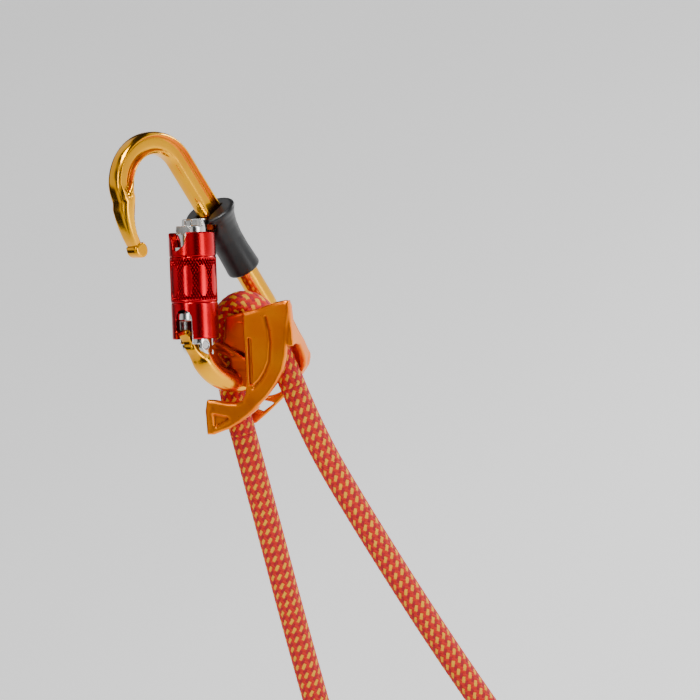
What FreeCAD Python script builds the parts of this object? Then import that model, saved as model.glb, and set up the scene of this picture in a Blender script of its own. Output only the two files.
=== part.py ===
import FreeCAD, Part
import math
import os
from FreeCAD import Placement, Rotation, Vector

# One-hand adjustable lanyard rope grab: a twist-lock carabiner held captive in the eye of a cam-type
# rope adjuster, with its rope. Millimetres, +Z up along the carabiner's spine, the gate on the -X side,
# the front towards -Y. The origin is the seat of the hook, where the carabiner hangs.

# Carabiner frame
HOOK_X = 0.0                # centre of the hook's bend
HOOK_Z = -12.1
HOOK_R = 16.8               # centreline radius of the hook's bend
SPINE_X = HOOK_X + HOOK_R
FRAME_HALF = 4.7            # half thickness in the plane of the ring
FRAME_DEPTH = 4.5           # half depth across the ring
BASKET_R = 20.5             # centreline radius of the basket
BASKET_X = SPINE_X - BASKET_R
BASKET_Z = -84.0
BAR_R = 4.7                 # round basket bar
SECTION_CHANGE_Z = -56.0    # the H section turns round inside the grip
NOSE = (-24.2, -26.6)       # centre of the keylock bulb
NOSE_R = 3.6
NOSE_HALF = 4.0

# Gate and lock, drawn closed with the hinge at the local origin and the gate up +Z
HINGE = Vector(-23.2, 0.0, -76.2)
GATE_OPEN_DEG = 36.0
GATE_R = 6.5
GATE_TOP = 51.5
TANG_HALF = 3.4
TANG_LEDGE_Z = -73.2        # ledge beside the hinge that the gate's push rod bears on
ROD_X = 1.2                 # the push rod and its spring lie off the gate's centre
ROD_TIP = 5.91
PIN_R = 1.5
RUNNING = 0.05              # radial clearance of a running fit
SLEEVE_R = 9.6
SLEEVE_BORE_R = GATE_R + 0.2
SLEEVE_POCKET_R = 8.7
SLEEVE_BOTTOM = 2.5
SLEEVE_TOP = 46.0
POCKET_TOP = 40.0
LIP = (6.2, 8.2)            # inner lip that meets the retaining ring when the sleeve is up
SLOT_TURN_DEG = 18.0        # the foot's slot sits this far round from the gate's outer side

# Grip on the spine
GRIP_TOP = -37.6
GRIP_BOTTOM = -68.0

# Rope and adjuster, drawn in the adjuster's own frame: X to the right, Y to the back, Z up,
# with the cam's pivot at its origin
ROPE_R = 5.4
BIGHT_R = 9.0               # centreline radius of the rope over the cam
PIVOT = Vector(0.3, -3.8, -84.3)
CAM_TIP_DEG = 6.0       # how far the adjuster and its rope tip on the cam
ADJUSTER = Placement(PIVOT, Rotation(-69.9, 22.0, -22.0))
PIVOT_PIN_R = 1.95
BUSH_R = 2.5
DRUM_R = 3.5
EYE_ANGLE_DEG = 277.0       # where on the basket the cam's eye sits
EYE_BORE_R = 5.5
EYE_R = 8.8
EYE_HALF = 3.2
BAR_CLEARANCE_R = 5.5
FREE_SIDE_DEG = 24.0        # lean of the free strand as it leaves the cam

# Routes of the two strands below the adjuster (x, z in the adjuster's frame)
LOAD_ROUTE = [(-1.45, -46.0), (10.04, -86.5), (20.4, -124.6), (31.6, -162.5)]
FREE_ROUTE = [(20.5, -24.0), (29.35, -43.93), (46.0, -70.5), (73.0, -110.0), (96.0, -141.5), (109.5, -159.0)]
LOAD_BEND = (-9.0, -19.4)
COVER_LENGTH = 40.0
LOOP_R = 16.0               # centreline radius of the load eye
LOOP_DROP = 38.0            # from the cover to the centre of the load eye


def direction_xz(degrees):
    """Unit vector in the XZ plane, turned from +X towards +Z."""
    turn = math.radians(degrees)
    return Vector(math.cos(turn), 0, math.sin(turn))


def cylinder(radius, start, end):
    axis = end.sub(start)
    return Part.makeCylinder(radius, axis.Length, start, axis)


def tube(outer, inner, start, end):
    return cylinder(outer, start, end).cut(cylinder(inner, start, end))


def rounded_outline(corners, y):
    """Closed outline in the plane at y, from corners (x, z, radius)."""
    count = len(corners)
    starts = []
    ends = []
    middles = []
    for i in range(count):
        here = Vector(corners[i][0], y, corners[i][1])
        before = Vector(corners[i - 1][0], y, corners[i - 1][1])
        after = Vector(corners[(i + 1) % count][0], y, corners[(i + 1) % count][1])
        back = before.sub(here).normalize()
        ahead = after.sub(here).normalize()
        half = back.getAngle(ahead) / 2
        radius = corners[i][2]
        reach = radius / math.tan(half)
        centre = here + (back + ahead).normalize() * (radius / math.sin(half))
        starts.append(here + back * reach)
        ends.append(here + ahead * reach)
        middles.append(centre + (here - centre).normalize() * radius)
    edges = []
    for i in range(count):
        if corners[i][2] > 0:
            edges.append(Part.Arc(starts[i], middles[i], ends[i]).toShape())
        nearer = starts[(i + 1) % count]
        if ends[i].distanceToPoint(nearer) > 1e-6:
            edges.append(Part.LineSegment(ends[i], nearer).toShape())
    return Part.Wire(edges)


def plate(corners, low, high):
    """Flat plate with rounded corners between two planes across Y."""
    face = Part.Face(rounded_outline(corners, low))
    return face.extrude(Vector(0, high - low, 0))


def box(x0, x1, y0, y1, z0, z1):
    return Part.makeBox(x1 - x0, y1 - y0, z1 - z0, Vector(x0, y0, z0))


def swept(profile, path):
    return path.makePipeShell([profile], True, False)


def h_profile(x, z):
    """H section at a point on the straight spine: rounded faces with a shallow groove front and back."""
    side = FRAME_HALF
    face = FRAME_DEPTH
    bevel = 1.2
    groove = 2.3
    depth = 1.5
    slope = 0.7
    quarter = [(side, face - bevel), (side - bevel, face), (groove + slope, face), (groove, face - depth)]
    upper = quarter + [(-px, py) for px, py in reversed(quarter)]
    lower = [(-px, -py) for px, py in upper]
    ring = [Vector(x + px, py, z) for px, py in upper + lower]
    return Part.makePolygon(ring + [ring[0]])


def hook_and_spine():
    foot = Vector(SPINE_X, 0, SECTION_CHANGE_Z)
    shoulder = Vector(SPINE_X, 0, HOOK_Z)
    centre = Vector(HOOK_X, 0, HOOK_Z)
    top = centre + Vector(0, 0, HOOK_R)
    end = centre + direction_xz(165) * HOOK_R
    path = Part.Wire([Part.LineSegment(foot, shoulder).toShape(), Part.Arc(shoulder, top, end).toShape()])
    return swept(h_profile(SPINE_X, SECTION_CHANGE_Z), path)


def nose_arm():
    """Flattened arm from the hook's end down to the keylock bulb."""
    arm = plate(
        [(-20.6, -5.8, 1.0), (-23.3, -15.0, 6.0), (-25.9, -23.5, 1.0), (-22.6, -23.5, 1.0),
         (-19.1, -13.4, 6.0), (-11.9, -8.4, 1.0), (-15.5, -3.4, 1.0)],
        -FRAME_DEPTH + 0.3, FRAME_DEPTH - 0.3)
    neck = plate(
        [(-25.0, -19.0, 0.6), (-25.6, -28.0, 0.6), (-22.9, -28.0, 0.6), (-21.8, -19.0, 0.6)],
        -NOSE_HALF, NOSE_HALF)
    bulb_end = Vector(NOSE[0], -NOSE_HALF, NOSE[1])
    bulb = cylinder(NOSE_R, bulb_end, bulb_end + Vector(0, 2 * NOSE_HALF, 0))
    return arm.fuse([neck, bulb])


def basket():
    """Round bar down the lower spine, round the basket and up to the hinge tang."""
    start = Vector(SPINE_X, 0, SECTION_CHANGE_Z - 4)
    low = Vector(SPINE_X, 0, BASKET_Z)
    bottom = Vector(BASKET_X, 0, BASKET_Z - BASKET_R)
    end = Vector(BASKET_X - BASKET_R, 0, BASKET_Z)
    path = Part.Wire([Part.LineSegment(start, low).toShape(), Part.Arc(low, bottom, end).toShape()])
    ring = Part.Wire([Part.makeCircle(BAR_R, start, Vector(0, 0, 1))])
    bar = swept(ring, path)
    joint = cylinder(BAR_R, Vector(SPINE_X, 0, SECTION_CHANGE_Z - 4.5), Vector(SPINE_X, 0, SECTION_CHANGE_Z + 2))
    tang = plate(
        [(-25.1, -67.6, 0.6), (-26.4, -78.4, 4.0), (-28.2, -85.0, 1.0), (-25.5, -92.0, 1.0), (-18.0, -92.0, 1.0),
         (-19.5, -84.0, 1.0), (-18.9, TANG_LEDGE_Z, 0.4), (-23.6, TANG_LEDGE_Z, 0.3), (-23.6, -68.8, 0.4)],
        -TANG_HALF, TANG_HALF)
    shoulder = cylinder(BAR_R, end, end + Vector(0, 0, 2.5))
    return bar.fuse([joint, tang, shoulder])


def carabiner_frame():
    body = hook_and_spine().fuse([nose_arm(), basket()])
    pin_hole = cylinder(PIN_R, HINGE - Vector(0, 10, 0), HINGE + Vector(0, 10, 0))
    gate_room = placed_on_gate(cylinder(GATE_R + 0.3, Vector(0, 0, SLEEVE_TOP), Vector(0, 0, GATE_TOP + 0.5)))
    sleeve_room = placed_on_gate(cylinder(SLEEVE_R + 0.3, Vector(0, 0, SLEEVE_TOP - 6), Vector(0, 0, SLEEVE_TOP + 2.8)))
    return body.cut(pin_hole).cut(gate_room).cut(sleeve_room).removeSplitter()


def spine_grip():
    """Rubber sleeve moulded on the spine, flared at the top, with a relief where the gate opens to it."""
    levels = [(GRIP_TOP, 9.0, 12.0), (GRIP_TOP - 2.4, 9.2, 12.2), (-44.0, 7.6, 9.4), (-50.0, 6.8, 8.0),
              (-58.0, 6.6, 7.4), (GRIP_BOTTOM, 7.2, 7.8)]
    rings = []
    for z, across, deep in levels:
        oval = Part.Ellipse(Vector(0, 0, 0), deep, across)
        edge = oval.toShape()
        edge.Placement = Placement(Vector(SPINE_X, 0, z), Rotation(Vector(0, 0, 1), 90))
        rings.append(Part.Wire([edge]))
    body = Part.makeLoft(rings, True)
    bar = cylinder(BAR_R, Vector(SPINE_X, 0, GRIP_BOTTOM - 1), Vector(SPINE_X, 0, SECTION_CHANGE_Z))
    profile = h_profile(SPINE_X, SECTION_CHANGE_Z)
    spine = Part.Face(profile).extrude(Vector(0, 0, GRIP_TOP + 1 - SECTION_CHANGE_Z))
    joint = cylinder(BAR_R, Vector(SPINE_X, 0, SECTION_CHANGE_Z - 1), Vector(SPINE_X, 0, SECTION_CHANGE_Z + 2))
    relief = placed_on_gate(cylinder(SLEEVE_R + 0.6, Vector(0, 0, 0), Vector(0, 0, SLEEVE_TOP + 2.8)))
    swing = math.hypot(GATE_TOP, GATE_R) + 0.6
    path = cylinder(swing, HINGE - Vector(0, GATE_R + 0.5, 0), HINGE + Vector(0, GATE_R + 0.5, 0))
    head = placed_on_gate(box(-40, GATE_R + 0.5, -20, 20, SLEEVE_TOP, GATE_TOP + 20))
    return body.cut(bar).cut(spine).cut(joint).cut(relief).cut(path.common(head))


# ---------------------------------------------------------------- gate and lock

def placed_on_gate(shape):
    """Turns a piece drawn on the closed gate to the open pose, about the hinge."""
    moved = shape.copy()
    moved.Placement = Placement(HINGE, Rotation(Vector(0, 1, 0), GATE_OPEN_DEG))
    return moved


def gate_body():
    barrel = cylinder(GATE_R, Vector(0, 0, 0), Vector(0, 0, GATE_TOP))
    foot = cylinder(GATE_R, Vector(0, 0, -GATE_R), Vector(0, 0, 0.5))
    foot = foot.common(cylinder(4.8, Vector(1.2, -GATE_R, 0.5), Vector(1.2, GATE_R, 0.5)))
    barrel = barrel.fuse(foot)
    fork = box(-9, 9, -TANG_HALF - 0.15, TANG_HALF + 0.15, -9, 10.0)
    nose_slot = box(-9, 3.6, -NOSE_HALF - 0.25, NOSE_HALF + 0.25, 45.4, GATE_TOP + 1)
    step = box(-9, 0.2, -9, 9, 48.6, GATE_TOP + 1)
    spring_bore = cylinder(2.2, Vector(ROD_X, 0, 9), Vector(ROD_X, 0, 34))
    pin_hole = cylinder(PIN_R + RUNNING, Vector(0, -9, 0), Vector(0, 9, 0))
    body = barrel.cut(fork).cut(nose_slot).cut(step).cut(spring_bore).cut(pin_hole)
    return placed_on_gate(body.removeSplitter())


def gate_hinge_pin():
    return placed_on_gate(cylinder(PIN_R, Vector(0, -5.9, 0), Vector(0, 5.9, 0)))


def gate_spring():
    return placed_on_gate(tube(2.0, 1.2, Vector(ROD_X, 0, 15.1), Vector(ROD_X, 0, 34.0)))


def gate_push_rod():
    """Rod that the gate's spring presses on the tang's ledge."""
    head = cylinder(2.15, Vector(ROD_X, 0, 13.0), Vector(ROD_X, 0, 15.0))
    shank = cylinder(1.0, Vector(ROD_X, 0, ROD_TIP), Vector(ROD_X, 0, 13.5))
    tip = Part.makeSphere(1.0, Vector(ROD_X, 0, ROD_TIP))
    return placed_on_gate(head.fuse([shank, tip]).removeSplitter())


def sleeve_retaining_ring():
    return placed_on_gate(tube(8.4, GATE_R, Vector(0, 0, 10.6), Vector(0, 0, 13.0)))


def sleeve_spring():
    return placed_on_gate(tube(8.2, 7.2, Vector(0, 0, 13.2), Vector(0, 0, 35.6)))


def sleeve_guide_ring():
    return placed_on_gate(tube(SLEEVE_POCKET_R - RUNNING, SLEEVE_BORE_R, Vector(0, 0, 36.0), Vector(0, 0, 39.8)))


def locking_sleeve():
    """Twist-lock sleeve: notched top edge for the nose, rounded slot at the foot for the hinge tang."""
    shell = cylinder(SLEEVE_R, Vector(0, 0, SLEEVE_BOTTOM), Vector(0, 0, SLEEVE_TOP))
    pocket = cylinder(SLEEVE_POCKET_R, Vector(0, 0, LIP[1]), Vector(0, 0, POCKET_TOP))
    foot = cylinder(SLEEVE_POCKET_R, Vector(0, 0, SLEEVE_BOTTOM - 1), Vector(0, 0, LIP[0]))
    bore = cylinder(SLEEVE_BORE_R, Vector(0, 0, 0), Vector(0, 0, SLEEVE_TOP + 1))
    notch = plate([(-5.6, 37.0, 3.0), (-7.0, 52.0, 0.5), (7.0, 52.0, 0.5), (5.6, 37.0, 3.0)], 0, 14)
    notch.rotate(Vector(0, 0, 0), Vector(0, 0, 1), 90)
    slot = plate([(-4.1, 0.0, 0.5), (-4.1, 14.6, 3.9), (4.1, 14.6, 3.9), (4.1, 0.0, 0.5)], 0, 14)
    slot.rotate(Vector(0, 0, 0), Vector(0, 0, 1), 90 + SLOT_TURN_DEG)
    line = tube(SLEEVE_R + 1, SLEEVE_R - 0.35, Vector(0, 0, 35.6), Vector(0, 0, 36.3))
    lower_line = tube(SLEEVE_R + 1, SLEEVE_R - 0.35, Vector(0, 0, 17.0), Vector(0, 0, 17.7))
    shell = shell.cut(pocket).cut(foot).cut(bore).cut(notch).cut(slot).cut(line).cut(lower_line)
    return placed_on_gate(shell)


# ---------------------------------------------------------------- adjuster

def on_adjuster(shape):
    moved = shape.copy()
    moved.Placement = ADJUSTER.multiply(moved.Placement)
    return moved


def bar_clearance():
    """Room round the basket and the lower spine, in the row's frame."""
    ring = Part.makeTorus(BASKET_R, BAR_CLEARANCE_R, Vector(BASKET_X, 0, BASKET_Z), Vector(0, 1, 0))
    spine = cylinder(BAR_CLEARANCE_R, Vector(SPINE_X, 0, BASKET_Z), Vector(SPINE_X, 0, BASKET_Z + 60))
    stem_x = BASKET_X - BASKET_R
    stem = cylinder(BAR_CLEARANCE_R, Vector(stem_x, 0, BASKET_Z), Vector(stem_x, 0, BASKET_Z + 20))
    lower_half = box(-60, 60, -20, 20, -140, BASKET_Z)
    return ring.common(lower_half).fuse([spine, stem])


FRONT_OUTLINE = [
    (2.3, 7.6, 2.5), (23.5, 15.3, 2.5), (24.0, 6.7, 4.0), (22.3, -3.7, 20.0), (19.2, -20.8, 25.0),
    (11.4, -34.0, 25.0), (-1.7, -44.5, 10.0), (-12.0, -45.3, 4.0), (-13.4, -36.3, 6.0), (-10.0, -29.8, 2.5),
    (-0.5, -28.3, 6.0), (4.4, -22.1, 8.0)]


def side_wall():
    """Wall that runs from the crest of the front plate back and down to the back plate."""
    band = plate(
        [(21.3, 14.0, 1.0), (23.5, 15.0, 1.0), (24.7, 6.0, 6.0), (25.4, -6.0, 6.0), (25.3, -14.0, 4.0),
         (23.2, -20.6, 0.6), (20.8, -20.0, 0.6), (22.8, -12.0, 6.0), (22.4, 3.0, 6.0)], -12.2, 8.3)
    profile = [(-12.2, 15.5), (-8.4, 12.8), (-7.2, 5.2), (-3.4, 0.5), (2.0, -4.1), (8.3, -10.6), (8.3, -21.0),
               (5.0, -20.5), (2.4, -13.9), (-0.5, -9.5), (-3.9, -5.3), (-7.9, -3.9), (-12.2, -4.3)]
    ring = Part.makePolygon([Vector(15, y, z) for y, z in profile + profile[:1]])
    return band.common(Part.Face(ring).extrude(Vector(15, 0, 0)))


def adjuster_frame():
    """Forged frame: raised front plate with its lower wing, side wall, recessed cheek and back plate."""
    front = plate(FRONT_OUTLINE, -12.2, -9.8)
    core = plate(
        [(8.0, 5.5, 3.0), (21.5, 13.0, 2.0), (22.5, 5.0, 4.0), (20.8, -3.7, 15.0), (18.4, -18.0, 8.0),
         (12.0, -26.0, 3.0), (8.0, -14.0, 4.0)], -10.5, -5.9)
    wing = plate(
        [(-9.0, -30.6, 2.0), (-12.6, -37.0, 5.0), (-11.2, -44.4, 3.5), (-2.0, -43.6, 8.0), (10.5, -33.4, 3.0),
         (7.5, -29.0, 3.0), (0.0, -29.4, 2.0)], -10.5, -6.6)
    cheek = plate(
        [(-8.4, 3.6, 3.0), (8.0, 9.0, 2.0), (22.0, 12.0, 2.0), (20.0, -9.0, 3.0), (4.0, -11.0, 3.0),
         (-9.2, -7.0, 3.0)], -7.9, -5.9)
    back = plate(
        [(-6.5, 5.0, 3.0), (2.0, 6.5, 3.0), (12.0, 7.0, 3.0), (21.0, -3.5, 6.0), (25.3, -11.0, 4.0),
         (23.6, -20.5, 6.0), (9.0, -37.5, 8.0), (-2.0, -44.5, 8.0), (-12.0, -45.3, 4.0), (-13.4, -34.0, 3.0),
         (-8.0, -31.5, 3.0), (-7.0, -14.0, 4.0)], 5.8, 8.3)
    side = side_wall()
    left_end = plate([(-10.5, -31.5, 1.0), (-13.2, -36.3, 3.0), (-12.4, -44.8, 0.8), (-9.9, -44.8, 0.8)],
                     -11.5, 8.3)
    eye_room = cylinder(13.2, Vector(4.6, 4.0, -17.8), Vector(4.6, 12.0, -17.8))
    lower_window = plate([(0.8, -36.6, 1.0), (4.6, -37.6, 1.0), (9.4, -33.6, 1.0), (6.0, -33.2, 1.0)], 5.0, 9.0)
    recess = plate([(-10.9, -35.6, 1.2), (-10.0, -41.2, 1.4), (-3.2, -37.2, 1.2)], -13.0, -10.8)
    groove = plate([(6.0, -1.0, 0.7), (7.6, -1.0, 0.7), (8.4, -19.6, 0.7), (6.8, -19.6, 0.7)], -13.0, -11.4)
    body = front.fuse([core, wing, cheek, back, side, left_end])
    body = body.cut(eye_room).cut(lower_window).cut(recess).cut(groove)
    pin = Vector(0, 1, 0)
    holes = cylinder(PIVOT_PIN_R, pin * -20, pin * 20)
    body = on_adjuster(body.cut(holes))
    return body.cut(bar_clearance()).cut(on_adjuster(rope_room())).removeSplitter()


def cam():
    """Cam that the rope turns over, with the eye that holds the carabiner's basket."""
    drum = cylinder(DRUM_R, Vector(0, -5.2, 0), Vector(0, 5.2, 0))
    web = plate([(-3.2, 1.4, 1.5), (2.8, 1.4, 1.5), (9.2, -14.6, 1.0), (-3.2, -14.6, 1.0)], -5.2, 5.2)
    lug = plate([(-2.8, -12.4, 1.0), (5.6, -12.4, 1.0), (6.4, -16.4, 1.0), (-2.8, -16.4, 1.0)], -9.0, -4.0)
    lever = plate(
        [(-15.6, -10.4, 1.0), (-9.0, -5.2, 4.0), (-1.5, -8.6, 3.0), (5.6, -12.6, 2.0), (5.6, -24.0, 2.0),
         (0.8, -24.0, 1.0)], -9.4, -8.2)
    window = plate([(-9.6, -10.4, 0.8), (-3.4, -12.4, 0.8), (-2.4, -18.6, 0.8)], -10.0, -7.5)
    drill = cylinder(1.3, Vector(-11.8, -10.0, -10.2), Vector(-11.8, -7.0, -10.2))
    local = drum.fuse([web, lug, lever]).cut(window).cut(drill)
    local = local.cut(cylinder(BUSH_R, Vector(0, -6, 0), Vector(0, 6, 0)))
    eye_at = Vector(BASKET_X, 0, BASKET_Z) + direction_xz(EYE_ANGLE_DEG) * BASKET_R
    along = direction_xz(EYE_ANGLE_DEG + 90)
    eye = cylinder(EYE_R, eye_at - along * EYE_HALF, eye_at + along * EYE_HALF)
    bore = cylinder(EYE_BORE_R, eye_at - along * 5, eye_at + along * 5)
    body = on_adjuster(local).fuse(eye)
    body = body.cut(bore).cut(bar_clearance())
    for tip in (0, -CAM_TIP_DEG / 2, -CAM_TIP_DEG):
        room = rope_room()
        room.rotate(Vector(0, 0, 0), Vector(0, 1, 0), tip)
        body = body.cut(on_adjuster(room))
    return body


def cam_pivot_pin():
    shaft = cylinder(PIVOT_PIN_R, Vector(0, -7.9, 0), Vector(0, 8.3, 0))
    head = cylinder(3.1, Vector(0, -8.8, 0), Vector(0, -7.9, 0))
    tail = cylinder(2.9, Vector(0, 8.3, 0), Vector(0, 9.0, 0))
    return on_adjuster(shaft.fuse([head, tail]))


def cam_bush():
    return on_adjuster(tube(BUSH_R, PIVOT_PIN_R + RUNNING, Vector(0, -5.2, 0), Vector(0, 5.2, 0)))


def cam_washers():
    front = tube(3.4, PIVOT_PIN_R, Vector(0, -5.9, 0), Vector(0, -5.3, 0))
    back = tube(3.4, PIVOT_PIN_R, Vector(0, 5.3, 0), Vector(0, 5.8, 0))
    return on_adjuster(Part.makeCompound([front, back]))


# ---------------------------------------------------------------- rope

def corner_arc(before, corner, after, share=0.45):
    """Tangent arc at a corner, as large as share of the shorter run allows: its ends and the edge."""
    back = before.sub(corner)
    ahead = after.sub(corner)
    reach = share * min(back.Length, ahead.Length)
    back.normalize()
    ahead.normalize()
    half_turn = (math.pi - back.getAngle(ahead)) / 2
    radius = reach / math.tan(half_turn)
    start = corner + back * reach
    end = corner + ahead * reach
    centre = corner + (back + ahead).normalize() * (radius / math.cos(half_turn))
    middle = centre + (corner - centre).normalize() * radius
    return start, end, radius, Part.Arc(start, middle, end).toShape()


def rope_along(name, route):
    """Round tube along straight runs joined by tangent arcs."""
    points = [Vector(x, 0, z) for x, z in route]
    edges = []
    radii = []
    last = points[0]
    for i in range(1, len(points) - 1):
        start, end, radius, arc = corner_arc(points[i - 1], points[i], points[i + 1])
        edges.append(Part.LineSegment(last, start).toShape())
        edges.append(arc)
        radii.append(round(radius, 1))
        last = end
    edges.append(Part.LineSegment(last, points[-1]).toShape())
    return rope_tube(name, Part.Wire(edges), points[1].sub(points[0]), radii)


def rope_tube(name, path, heading, radii):
    first = path.OrderedVertexes[0].Point
    ring = Part.Wire([Part.makeCircle(ROPE_R, first, heading)])
    solid = swept(ring, path)
    ratio = solid.Volume / (math.pi * ROPE_R ** 2 * path.Length)
    print(name, "length", round(path.Length, 1), "volume ratio", round(ratio, 4), "radii", radii)
    return solid


def bight_path():
    """Up from the lower wing, over the cam and down to the window in the side wall."""
    foot = Vector(LOAD_ROUTE[0][0], 0, LOAD_ROUTE[0][1])
    bend = Vector(LOAD_BEND[0], 0, LOAD_BEND[1])
    rise = Vector(-BIGHT_R, 0, 0)
    top = Vector(0, 0, BIGHT_R)
    leave = direction_xz(FREE_SIDE_DEG) * BIGHT_R
    out = Vector(FREE_ROUTE[0][0], 0, FREE_ROUTE[0][1])
    start, end, radius, arc = corner_arc(foot, bend, rise, 0.85)
    edges = [
        Part.LineSegment(foot, start).toShape(), arc, Part.LineSegment(end, rise).toShape(),
        Part.Arc(rise, top, leave).toShape(), Part.LineSegment(leave, out).toShape()]
    return Part.Wire(edges), [round(radius, 1), BIGHT_R]


def rope_bight():
    path, radii = bight_path()
    heading = Vector(LOAD_BEND[0] - LOAD_ROUTE[0][0], 0, LOAD_BEND[1] - LOAD_ROUTE[0][1])
    return rope_tube("rope_bight", path, heading, radii)


def rope_room():
    """Room for the rope through the adjuster, a little wider than the rope."""
    path, _ = bight_path()
    first = path.OrderedVertexes[0].Point
    heading = Vector(LOAD_BEND[0] - LOAD_ROUTE[0][0], 0, LOAD_BEND[1] - LOAD_ROUTE[0][1])
    inside = swept(Part.Wire([Part.makeCircle(ROPE_R + 0.5, first, heading)]), path)
    start = Vector(FREE_ROUTE[0][0], 0, FREE_ROUTE[0][1])
    lean = Vector(FREE_ROUTE[1][0] - FREE_ROUTE[0][0], 0, FREE_ROUTE[1][1] - FREE_ROUTE[0][1]).normalize()
    outside = cylinder(ROPE_R + 0.3, start - lean, start + lean * 40)
    return inside.fuse(outside)


def end_frame(route):
    """Placement at a strand's end: local -Z runs on along the strand."""
    last = Vector(route[-1][0], 0, route[-1][1])
    before = Vector(route[-2][0], 0, route[-2][1])
    return Placement(last, Rotation(Vector(0, 0, -1), last.sub(before)))


def at_end(shape, route):
    moved = shape.copy()
    moved.Placement = end_frame(route).multiply(moved.Placement)
    return on_adjuster(moved)


def oval_block(half_wide, half_deep, length):
    """Oval prism that runs down from the local origin."""
    round_end = half_deep
    reach = half_wide - half_deep
    left = cylinder(round_end, Vector(-reach, 0, -length), Vector(-reach, 0, 0))
    right = cylinder(round_end, Vector(reach, 0, -length), Vector(reach, 0, 0))
    middle = box(-reach, reach, -half_deep, half_deep, -length, 0)
    return left.fuse([right, middle]).removeSplitter()


def load_eye_cover():
    return at_end(oval_block(12.0, 6.4, COVER_LENGTH), LOAD_ROUTE)


def free_end_cover():
    return at_end(oval_block(12.0, 6.4, 0.8 * COVER_LENGTH), FREE_ROUTE)


def load_eye_loop():
    """Rope loop below the stitched cover."""
    leg = ROPE_R + 0.2
    reach = math.hypot(leg, LOOP_DROP)
    lean = math.atan2(LOOP_DROP, leg) - math.acos(LOOP_R / reach)
    centre = Vector(0, 0, -COVER_LENGTH - LOOP_DROP)
    side = Vector(-LOOP_R * math.cos(lean), 0, LOOP_R * math.sin(lean))
    left_top = Vector(-leg, 0, -COVER_LENGTH)
    left = centre + side
    bottom = centre - Vector(0, 0, LOOP_R)
    right = centre + Vector(-side.x, 0, side.z)
    right_top = Vector(leg, 0, -COVER_LENGTH)
    path = Part.Wire([
        Part.LineSegment(left_top, left).toShape(), Part.Arc(left, bottom, right).toShape(),
        Part.LineSegment(right, right_top).toShape()])
    solid = rope_tube("load_eye_loop", path, left.sub(left_top), [LOOP_R])
    flat_top = box(-40, 40, -20, 20, -COVER_LENGTH - 80, -COVER_LENGTH)
    return at_end(solid.common(flat_top), LOAD_ROUTE)


def load_eye_thimble():
    """Plastic wear ring inside the loop."""
    centre = Vector(0, 0, -COVER_LENGTH - LOOP_DROP)
    across = Vector(0, 6.0, 0)
    ring = tube(LOOP_R - ROPE_R, LOOP_R - ROPE_R - 2.0, centre - across, centre + across)
    return at_end(ring, LOAD_ROUTE)


PIECES = {
    "carabiner_frame": carabiner_frame,
    "gate_hinge_pin": gate_hinge_pin,
    "spine_grip": spine_grip,
    "gate_body": gate_body,
    "gate_spring": gate_spring,
    "gate_push_rod": gate_push_rod,
    "sleeve_retaining_ring": sleeve_retaining_ring,
    "sleeve_spring": sleeve_spring,
    "sleeve_guide_ring": sleeve_guide_ring,
    "locking_sleeve": locking_sleeve,
    "adjuster_frame": adjuster_frame,
    "cam": cam,
    "cam_pivot_pin": cam_pivot_pin,
    "cam_bush": cam_bush,
    "cam_washers": cam_washers,
    "rope_bight": rope_bight,
    "load_strand": lambda: on_adjuster(rope_along("load_strand", LOAD_ROUTE)),
    "free_strand": lambda: on_adjuster(rope_along("free_strand", FREE_ROUTE)),
    "load_eye_cover": load_eye_cover,
    "load_eye_loop": load_eye_loop,
    "load_eye_thimble": load_eye_thimble,
    "free_end_cover": free_end_cover,
}


def main():
    os.makedirs("parts", exist_ok=True)
    for name, make in PIECES.items():
        shape = make()
        if name == "rope_bight":
            shape = on_adjuster(shape)
        print(name, "valid", shape.isValid(), "solids", len(shape.Solids), "volume", round(shape.Volume, 1))
        shape.exportStep("parts/" + name + ".step")


main()
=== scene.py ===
import math
import bpy
import numpy as np
from mathutils import Matrix, Vector


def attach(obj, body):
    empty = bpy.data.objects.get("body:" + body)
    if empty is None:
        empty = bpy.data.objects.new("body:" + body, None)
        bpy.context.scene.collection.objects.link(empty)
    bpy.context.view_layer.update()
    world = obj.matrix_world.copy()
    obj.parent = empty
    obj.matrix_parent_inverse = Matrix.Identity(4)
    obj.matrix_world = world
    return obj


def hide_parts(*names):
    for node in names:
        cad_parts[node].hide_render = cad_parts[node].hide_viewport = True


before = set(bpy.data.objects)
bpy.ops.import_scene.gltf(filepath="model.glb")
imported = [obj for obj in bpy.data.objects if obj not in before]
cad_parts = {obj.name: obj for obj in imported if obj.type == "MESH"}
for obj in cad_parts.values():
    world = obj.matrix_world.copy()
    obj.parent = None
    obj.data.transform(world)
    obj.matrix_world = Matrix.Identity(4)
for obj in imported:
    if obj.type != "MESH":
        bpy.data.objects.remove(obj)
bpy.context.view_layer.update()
MM = 0.001

# Carabiner, in mm: one bar round the hook, down the spine, round the basket and up to the hinge
BAR_R = 4.7
SPINE_X = 16.8
HOOK_R = 16.8
HOOK_Z = -12.1
BASKET_R = 20.5
BASKET_X = -3.7
BASKET_Z = -84
STEM_X = -24.2

# Gate: its hinge, and how far it stands open in the rest pose
HINGE = np.array([-23.2, 0.0, -76.2])
GATE_OPEN = math.radians(36.0)
GATE_X, GATE_Z = math.sin(GATE_OPEN), math.cos(GATE_OPEN)
SLEEVE_R = 9.55

# Axes of the adjuster's own frame in the row frame, and its origin at the cam's pivot
ADJ = np.array([[0.3186357, 0.8224872, 0.4711539], [-0.8707130, 0.4504189, -0.1974377],
                [-0.3746066, -0.3473292, 0.8596699]])
ADJ_AT = np.array([0.3, -3.8, -84.3])

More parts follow.
